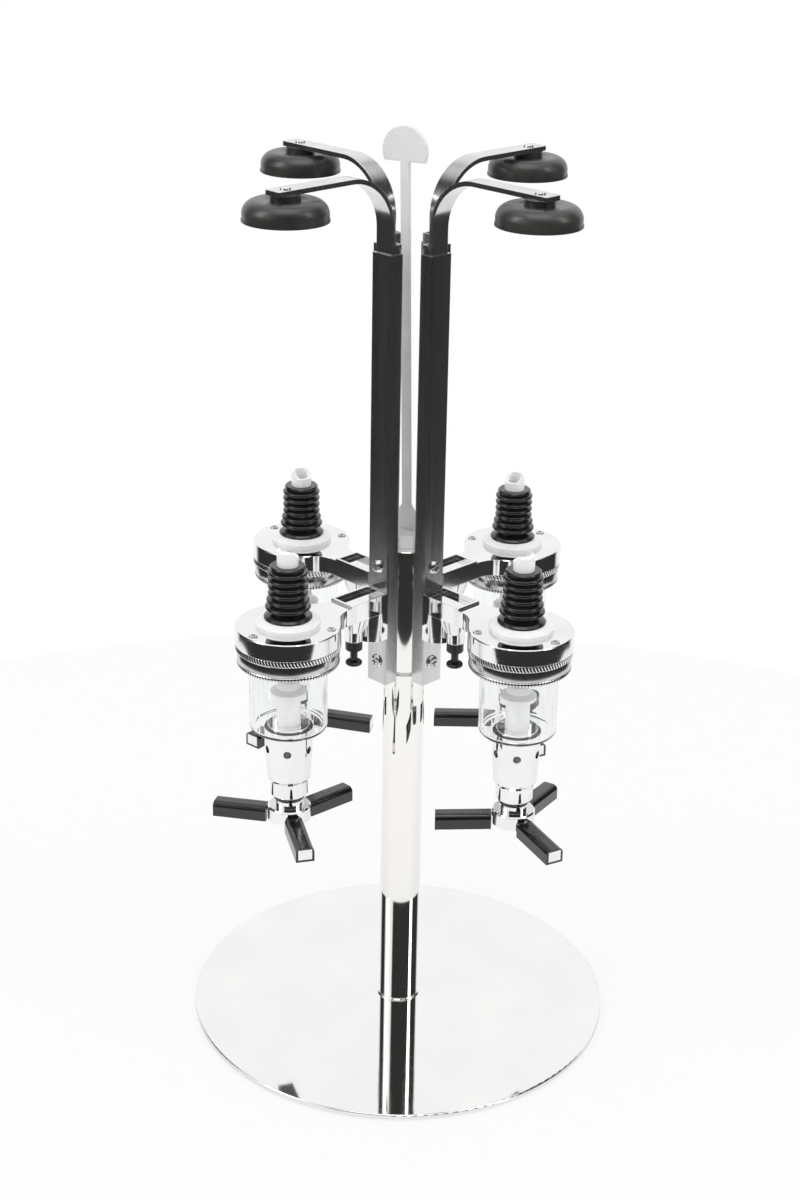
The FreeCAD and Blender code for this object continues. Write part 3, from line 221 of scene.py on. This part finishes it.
spring_steel = make_metal("spring_steel", (0.50, 0.50, 0.52), (0.62, 0.62, 0.64), rough=(0.18, 0.30),
                          grain=900.0)

# Rubbers
rubber = make_plastic("black_rubber", grey(0.010), (0.020, 0.019, 0.018), rough=(0.26, 0.42), grain=900.0,
                      coat=0.25, relief=0.10)
seal_rubber = make_plastic("seal_rubber", grey(0.02), grey(0.03), rough=(0.5, 0.6), grain=900.0)
cup_rubber = make_plastic("cup_rubber", (0.020, 0.019, 0.018), (0.044, 0.042, 0.039), rough=(0.28, 0.42),
                          grain=500.0, coat=0.22, relief=0.12)
rib_rubber = make_plastic("rib_rubber", grey(0.008), grey(0.014), rough=(0.16, 0.26), grain=900.0,
                          coat=0.3, relief=0.06)
sleeve_rubber = make_plastic("sleeve_rubber", grey(0.006), grey(0.012), rough=(0.10, 0.20), grain=600.0,
                             coat=0.4, relief=0.06)

# Plastics
black_plastic = make_plastic("black_plastic", grey(0.008), grey(0.014), rough=(0.15, 0.28), grain=700.0)
white_plastic = make_plastic("white_plastic", grey(0.90), grey(0.94), rough=(0.22, 0.34), grain=500.0,
                             subsurface=0.15)
pale_plastic = make_plastic("pale_plastic", (0.70, 0.70, 0.71), (0.78, 0.78, 0.79), rough=(0.30, 0.42),
                            grain=500.0)
clear = make_clear("clear_plastic")

SLOT_MATERIALS = {
    "mirror_chrome": mirror,
    "cast_chrome": cast,
    "arm_chrome": arm_metal,
    "channel_metal": channel_metal,
    "bright_liner": liner_metal,
    "plain_steel": plain_steel,
    "spring_steel": spring_steel,
    "black_rubber": rubber,
    "seal_rubber": seal_rubber,
    "black_plastic": black_plastic,
    "white_plastic": white_plastic,
    "pale_plastic": pale_plastic,
    "clear_plastic": clear,
}

# Nodes that look different from the rest of their slot, by how their names end
OWN_MATERIALS = {
    "_lever_rubbers": sleeve_rubber,
    "_bottle_cup": cup_rubber,
    "column": warm_chrome,
    "rotor_hub": warm_chrome,
}


def dress_nodes():
    slot_of = {part["node"]: part["material_slot"] for part in frame["record"]["subparts"]}
    for name, item in nodes.items():
        material = SLOT_MATERIALS[slot_of[name]]
        for ending, own_material in OWN_MATERIALS.items():
            if name.endswith(ending):
                material = own_material
        item.data.materials.clear()
        item.data.materials.append(material)


# Turned pieces with relief that the plain solids do not have
def measure_round(node):
    """The outer radius, the foot and the top of a node with one round solid at each station."""
    corners = [node.matrix_world @ vertex.co for vertex in node.data.vertices]
    across = [corner.x for corner in corners]
    heights = [corner.z for corner in corners]
    station_x = STATION_RADIUS * math.cos(math.radians(STATION_AZIMUTHS[0]))
    return (max(across) - min(across)) / 2 - station_x - MARGIN, min(heights), max(heights)


def no_relief(turn, row):
    return 0.0


def first_material(turn, row):
    return 0


def add_turned(edit, centre_x, centre_y, profile, segments, relief, choose):
    """Adds a closed (radius, height) profile turned round an upright axis."""
    columns = []
    for step in range(segments):
        turn = step / segments
        cosine = math.cos(turn * math.tau)
        sine = math.sin(turn * math.tau)
        column = []
        for row, (radius, height) in enumerate(profile):
            reach = radius + relief(turn, row)
            column.append(edit.verts.new((centre_x + reach * cosine, centre_y + reach * sine, height)))
        columns.append(column)
    for step in range(segments):
        here = columns[step]
        there = columns[(step + 1) % segments]
        for row in range(len(profile)):
            above = (row + 1) % len(profile)
            face = edit.faces.new((here[row], there[row], there[above], here[above]))
            face.material_index = choose((step + 0.5) / segments, row)


def turn_at_stations(name, profile, segments, materials, relief=no_relief, choose=first_material):
    """One mesh: the profile turned at every station.

    relief gives what is added to the radius, and choose the number of the material, at a share of
    the turn and a row of the profile.
    """
    mesh = bpy.data.meshes.new(name)
    edit = bmesh.new()
    for azimuth in STATION_AZIMUTHS:
        angle = math.radians(azimuth)
        add_turned(edit, STATION_RADIUS * math.cos(angle), STATION_RADIUS * math.sin(angle),
                   profile, segments, relief, choose)
    bmesh.ops.recalc_face_normals(edit, faces=edit.faces)
    edit.to_mesh(mesh)
    edit.free()
    mesh.shade_smooth()
    mesh.set_sharp_from_angle(angle=SMOOTH_ANGLE)
    for material in materials:
        mesh.materials.append(material)
    piece = bpy.data.objects.new(name, mesh)
    bpy.context.scene.collection.objects.link(piece)
    return piece


# Retaining rings: slanted knurl above, beads below, satin band between, painted shade in the grooves
TEETH = 100
TOOTH_SAMPLES = 6
TOOTH_DEPTH = 0.5 * MILLIMETRE
# How far a tooth leans over the height of the knurl, in teeth
TOOTH_LEAN = 0.8
KNURL_HEIGHT = 4.2 * MILLIMETRE
KNURL_ROWS = 8
BEAD_HEIGHT = 2.2 * MILLIMETRE
BEAD_ROWS = 8
# Below 1 the beads merge a little with their neighbours
BEAD_ROUNDNESS = 0.9
# Plain grooves run round the ring over the beads and under the knurl
BEAD_GROOVE_DEPTH = 0.6 * TOOTH_DEPTH
BEAD_GROOVE_RISE = 0.5 * TOOTH_DEPTH
KNURL_GROOVE_DEPTH = 0.8 * TOOTH_DEPTH
KNURL_GROOVE_DROP = 0.6 * TOOTH_DEPTH
# The painted shade in the grooves starts at this share of the way from a crest to the middle between two
GROOVE_SHADE_FROM = 0.6
# How much smaller the radius is at the beads than at the knurl, and at the satin band's top edge
RING_TAPER = 1.0 * MILLIMETRE
SATIN_INSET = RING_TAPER / 4
RING_WALL = 3.6 * MILLIMETRE
RING_LIP_WIDTH = 8.6 * MILLIMETRE
RING_LIP_HEIGHT = 3.0 * MILLIMETRE


def from_crest(turn, share_of_height):
    """0 on a tooth's crest and 1 in the groove; the teeth lean with the height."""
    return abs((turn * TEETH + share_of_height * TOOTH_LEAN) % 1.0 - 0.5) * 2


def make_rings():
    outside, low, high = measure_round(nodes["retaining_rings"])
    bore = outside - RING_WALL
    lip_bore = outside - RING_LIP_WIDTH
    lip_top = low + RING_LIP_HEIGHT
    knurl_low = high - KNURL_HEIGHT
    knurl_base = outside - TOOTH_DEPTH
    bead_top = low + BEAD_HEIGHT
    bead_base = knurl_base - RING_TAPER

    profile = [(lip_bore, low), (bead_base - TOOTH_DEPTH, low)]
    first_bead_row = len(profile)
    for row in range(BEAD_ROWS + 1):
        profile.append((bead_base, low + BEAD_HEIGHT * row / BEAD_ROWS))
    profile.append((bead_base - BEAD_GROOVE_DEPTH, bead_top + BEAD_GROOVE_RISE))
    satin_row = len(profile)
    profile.append((bead_base, bead_top + BEAD_GROOVE_RISE * 2))
    profile.append((knurl_base - SATIN_INSET, knurl_low - KNURL_GROOVE_DROP * 2))
    profile.append((knurl_base - KNURL_GROOVE_DEPTH, knurl_low - KNURL_GROOVE_DROP))
    first_knurl_row = len(profile)
    for row in range(KNURL_ROWS + 1):
        profile.append((knurl_base, knurl_low + KNURL_HEIGHT * row / KNURL_ROWS))
    profile += [(knurl_base - TOOTH_DEPTH, high), (bore, high), (bore, lip_top), (lip_bore, lip_top)]

    def relief(turn, row):
        if first_bead_row <= row <= first_bead_row + BEAD_ROWS:
            across = from_crest(turn, 0.0)
            along = (row - first_bead_row) / BEAD_ROWS * 2 - 1
            return TOOTH_DEPTH * math.sqrt(max(0.0, 1 - across ** 2 * BEAD_ROUNDNESS - along ** 2))
        if first_knurl_row <= row <= first_knurl_row + KNURL_ROWS:
            share = (row - first_knurl_row) / KNURL_ROWS
            height = KNURL_HEIGHT * share
            fade_out = min(1.0, height / TOOTH_DEPTH, (KNURL_HEIGHT - height) / TOOTH_DEPTH)
            return TOOTH_DEPTH * fade_out * (1 - from_crest(turn, share))
        return 0.0

    def choose(turn, row):
        """Chrome, satin in the middle band, and painted shade (a near-black metal) in the grooves between
        beads and between teeth.
        """
        if row == satin_row:
            return 1
        share = 0.0
        if first_knurl_row <= row < first_knurl_row + KNURL_ROWS:
            share = (row - first_knurl_row + 0.5) / KNURL_ROWS
        elif not first_bead_row <= row < first_bead_row + BEAD_ROWS:
            return 0
        # Material 2 is the painted shade in the grooves
        return 2 if from_crest(turn, share) > GROOVE_SHADE_FROM else 0

    rings = turn_at_stations("retaining_rings_knurled", profile, TEETH * TOOTH_SAMPLES,
                             (ring_chrome, satin_chrome, painted_shade_groove), relief, choose)
    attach(rings, "rotor")
    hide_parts("retaining_rings")


# Stoppers: rounded ribs, narrowing upwards, over a flared foot
STOPPER_SIDES = 72
STOPPER_BORE = 7.1 * MILLIMETRE
# Radius of each rib, from the lowest up
RIB_RADII = [radius * MILLIMETRE for radius in (14.9, 13.95, 13.0, 13.0, 13.0, 13.0)]
FIRST_RIB_HEIGHT = 7.8 * MILLIMETRE
RIB_PITCH = 4.7 * MILLIMETRE
RIB_HALF_HEIGHT = 1.25 * MILLIMETRE
RIB_DEPTH = 2.6 * MILLIMETRE
RIB_STEPS = 4
# Heights of the groove's three points, as shares of the pitch
GROOVE_LOW = 0.36
GROOVE_MIDDLE = 0.5
GROOVE_HIGH = 0.64
# The groove is this share of its full depth at its low and high points
GROOVE_SIDE_DEPTH = 0.8
FOOT_ROUND = 0.4 * MILLIMETRE
FOOT_EDGE_TOP = 1.2 * MILLIMETRE
SHOULDER_INSET = 1.2 * MILLIMETRE
SHOULDER_HEIGHT = 2.2 * MILLIMETRE
# Over the foot the stopper sweeps in to its neck
NECK_RADIUS = 10.3 * MILLIMETRE
SWEEP_INSET = 1.8 * MILLIMETRE
SWEEP_LOW = 2.6 * MILLIMETRE
SWEEP_RISE = 2.6 * MILLIMETRE
SWEEP_STEPS = 5
# The rounded top: millimetres in from the last rib and below the top, for each point
TOP_POINTS = ((2.6, 2.6), (1.4, 2.1), (1.4, 0.8), (2.2, 0.0))


def make_stoppers():
    foot, low, high = measure_round(nodes["stoppers"])
    profile = [(STOPPER_BORE, low), (foot - FOOT_ROUND, low), (foot, low + FOOT_ROUND),
               (foot, low + FOOT_EDGE_TOP), (foot - SHOULDER_INSET, low + SHOULDER_HEIGHT)]
    for step in range(SWEEP_STEPS + 1):
        share = step / SWEEP_STEPS
        profile.append((NECK_RADIUS + (foot - NECK_RADIUS - SWEEP_INSET) * (1 - share) ** 2,
                        low + SWEEP_LOW + SWEEP_RISE * share))
    for number, rib in enumerate(RIB_RADII):
        height = low + FIRST_RIB_HEIGHT + RIB_PITCH * number
        for step in range(-RIB_STEPS, RIB_STEPS + 1):
            slope = step / RIB_STEPS * math.pi / 2
            profile.append((rib - RIB_HALF_HEIGHT + RIB_HALF_HEIGHT * math.cos(slope),
                            height + RIB_HALF_HEIGHT * math.sin(slope)))
        if number < len(RIB_RADII) - 1:
            next_rib = RIB_RADII[number + 1]
            profile.append((rib - RIB_DEPTH * GROOVE_SIDE_DEPTH, height + RIB_PITCH * GROOVE_LOW))
            profile.append(((rib + next_rib) / 2 - RIB_DEPTH, height + RIB_PITCH * GROOVE_MIDDLE))
            profile.append((next_rib - RIB_DEPTH * GROOVE_SIDE_DEPTH, height + RIB_PITCH * GROOVE_HIGH))
    for inset, drop in TOP_POINTS:
        profile.append((RIB_RADII[-1] - inset * MILLIMETRE, high - drop * MILLIMETRE))
    profile.append((STOPPER_BORE, high))

    stoppers = turn_at_stations("stoppers_ribbed", profile, STOPPER_SIDES, (rib_rubber,))
    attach(stoppers, "rotor")
    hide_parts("stoppers")


# Camera: the place and lens that a fit to the photograph gave
CAMERA_DISTANCE = 1.260
CAMERA_HEIGHT = 0.85943
# It stands this far round to the right, and looks this much further to the left of the column
CAMERA_SIDE = math.radians(0.15)
CAMERA_YAW = CAMERA_SIDE + math.radians(0.17)
CAMERA_PITCH = math.radians(23.2)
CAMERA_ROLL = math.radians(1.02)
LENS = 60.22


def make_camera():
    look = Vector((-math.sin(CAMERA_YAW) * math.cos(CAMERA_PITCH),
                   math.cos(CAMERA_YAW) * math.cos(CAMERA_PITCH),
                   -math.sin(CAMERA_PITCH)))
    level = Vector((math.cos(CAMERA_YAW), math.sin(CAMERA_YAW), 0))
    rise = level.cross(look)
    right = level * math.cos(CAMERA_ROLL) + rise * math.sin(CAMERA_ROLL)
    up = rise * math.cos(CAMERA_ROLL) - level * math.sin(CAMERA_ROLL)
    data = bpy.data.cameras.new("camera")
    data.lens = LENS
    data.clip_start = 0.05
    data.clip_end = 50.0
    camera = bpy.data.objects.new("camera", data)
    camera.matrix_world = Matrix((
        (right.x, up.x, -look.x, CAMERA_DISTANCE * math.sin(CAMERA_SIDE)),
        (right.y, up.y, -look.y, -CAMERA_DISTANCE * math.cos(CAMERA_SIDE)),
        (right.z, up.z, -look.z, CAMERA_HEIGHT),
        (0, 0, 0, 1),
    ))
    bpy.context.scene.collection.objects.link(camera)
    bpy.context.scene.camera = camera


# Floor: a pale oval sheet; the backdrop beyond it is the world
FLOOR_HALF_WIDTH = 0.80
FLOOR_HALF_DEPTH = 0.66
FLOOR_SIDES = 128
# To the camera the paper is nearly as white as the backdrop: this share of it is plain white
FLOOR_WHITE_SHARE = 0.80


def make_floor():
    mesh = bpy.data.meshes.new("floor")
    edit = bmesh.new()
    bmesh.ops.create_circle(edit, cap_ends=True, segments=FLOOR_SIDES, radius=1.0)
    bmesh.ops.scale(edit, vec=(FLOOR_HALF_WIDTH, FLOOR_HALF_DEPTH, 1.0), verts=edit.verts)
    edit.to_mesh(mesh)
    edit.free()
    floor = bpy.data.objects.new("floor", mesh)
    bpy.context.scene.collection.objects.link(floor)

    material, tree, shader = new_material("floor_paper")
    shader.inputs["Roughness"].default_value = 0.9
    shader.inputs["Specular IOR Level"].default_value = 0.1
    grain = noise(tree, 60.0, detail=2.0)
    tree.links.new(ramp(tree, grain, grey(0.86), grey(0.88)), shader.inputs["Base Color"])
    paths = tree.nodes.new("ShaderNodeLightPath")
    white = tree.nodes.new("ShaderNodeEmission")
    white.inputs["Color"].default_value = (0.99, 0.99, 0.99, 1.0)
    share = spread(tree, paths.outputs["Is Camera Ray"], 0.0, FLOOR_WHITE_SHARE)
    surface = mix_shaders(tree, share, shader.outputs["BSDF"], white.outputs["Emission"])
    tree.links.new(surface, tree.nodes["Material Output"].inputs["Surface"])
    mesh.materials.append(material)


# World: white to the camera and through clear plastic; metal sees a studio with a white sweep
# behind, a soft box on the left, light above and a dark rest. Each pair says where a light patch
# starts and where it is full, on one axis of the direction looked in.
SWEEP_DEPTH = (0.45, 0.70)
SWEEP_TOP = (0.80, 0.60)
LEFT_BOX_SIDE = (-0.50, -0.60)
LEFT_BOX_FOOT = (0.12, 0.20)
LEFT_BOX_DEPTH = (0.10, -0.05)
ABOVE_HEIGHT = (0.62, 0.80)
DARK_STRENGTH = 0.03
BRIGHT_STRENGTH = 0.98
EVEN_STRENGTH = 0.84


def make_world():
    world = bpy.data.worlds.new("studio")
    world.use_nodes = True
    bpy.context.scene.world = world
    tree = world.node_tree
    tree.nodes.clear()
    output = tree.nodes.new("ShaderNodeOutputWorld")
    place = tree.nodes.new("ShaderNodeTexCoord")
    split = tree.nodes.new("ShaderNodeSeparateXYZ")
    tree.links.new(place.outputs["Generated"], split.inputs["Vector"])
    side = split.outputs["X"]
    depth = split.outputs["Y"]
    height = split.outputs["Z"]

    def background():
        node = tree.nodes.new("ShaderNodeBackground")
        node.inputs["Color"].default_value = (1, 1, 1, 1)
        return node

    sweep = combine(tree, "MULTIPLY", fade(tree, depth, *SWEEP_DEPTH), fade(tree, height, *SWEEP_TOP))
    left_box = combine(tree, "MULTIPLY", fade(tree, side, *LEFT_BOX_SIDE),
                       fade(tree, height, *LEFT_BOX_FOOT))
    left_box = combine(tree, "MULTIPLY", left_box, fade(tree, depth, *LEFT_BOX_DEPTH))
    around = combine(tree, "MAXIMUM", sweep, left_box)
    bright = combine(tree, "MAXIMUM", around, fade(tree, height, *ABOVE_HEIGHT))

    studio = background()
    tree.links.new(spread(tree, bright, DARK_STRENGTH, BRIGHT_STRENGTH), studio.inputs["Strength"])
    even = background()
    even.inputs["Strength"].default_value = EVEN_STRENGTH
    seen = background()

    paths = tree.nodes.new("ShaderNodeLightPath")
    indirect = mix_shaders(tree, paths.outputs["Is Glossy Ray"], even.outputs["Background"],
                           studio.outputs["Background"])
    direct = combine(tree, "MAXIMUM", paths.outputs["Is Camera Ray"], paths.outputs["Is Transmission Ray"])
    surface = mix_shaders(tree, direct, indirect, seen.outputs["Background"])
    tree.links.new(surface, output.inputs["Surface"])


# Lamps: three soft boxes
def make_lamp(name, place, aim, width, height, watts):
    data = bpy.data.lights.new(name, "AREA")
    data.shape = "RECTANGLE"
    data.size = width
    data.size_y = height
    data.energy = watts
    item = bpy.data.objects.new(name, data)
    item.location = place
    direction = Vector(aim) - Vector(place)
    item.rotation_euler = direction.to_track_quat("-Z", "Y").to_euler()
    bpy.context.scene.collection.objects.link(item)


dress_nodes()
make_rings()
make_stoppers()
make_camera()
make_floor()
make_world()
make_lamp("soft_box_left", place=(-1.7, -0.6, 1.7), aim=(0, 0, 0.3), width=0.6, height=1.2, watts=8.5)
make_lamp("soft_box_right", place=(1.7, -0.6, 1.7), aim=(0, 0, 0.3), width=0.6, height=1.2, watts=7.0)
make_lamp("soft_box_top", place=(0, -0.3, 2.3), aim=(0, 0, 0), width=1.2, height=1.2, watts=7.5)

scene = bpy.context.scene
scene.view_settings.view_transform = "Standard"

bpy.context.view_layer.update()
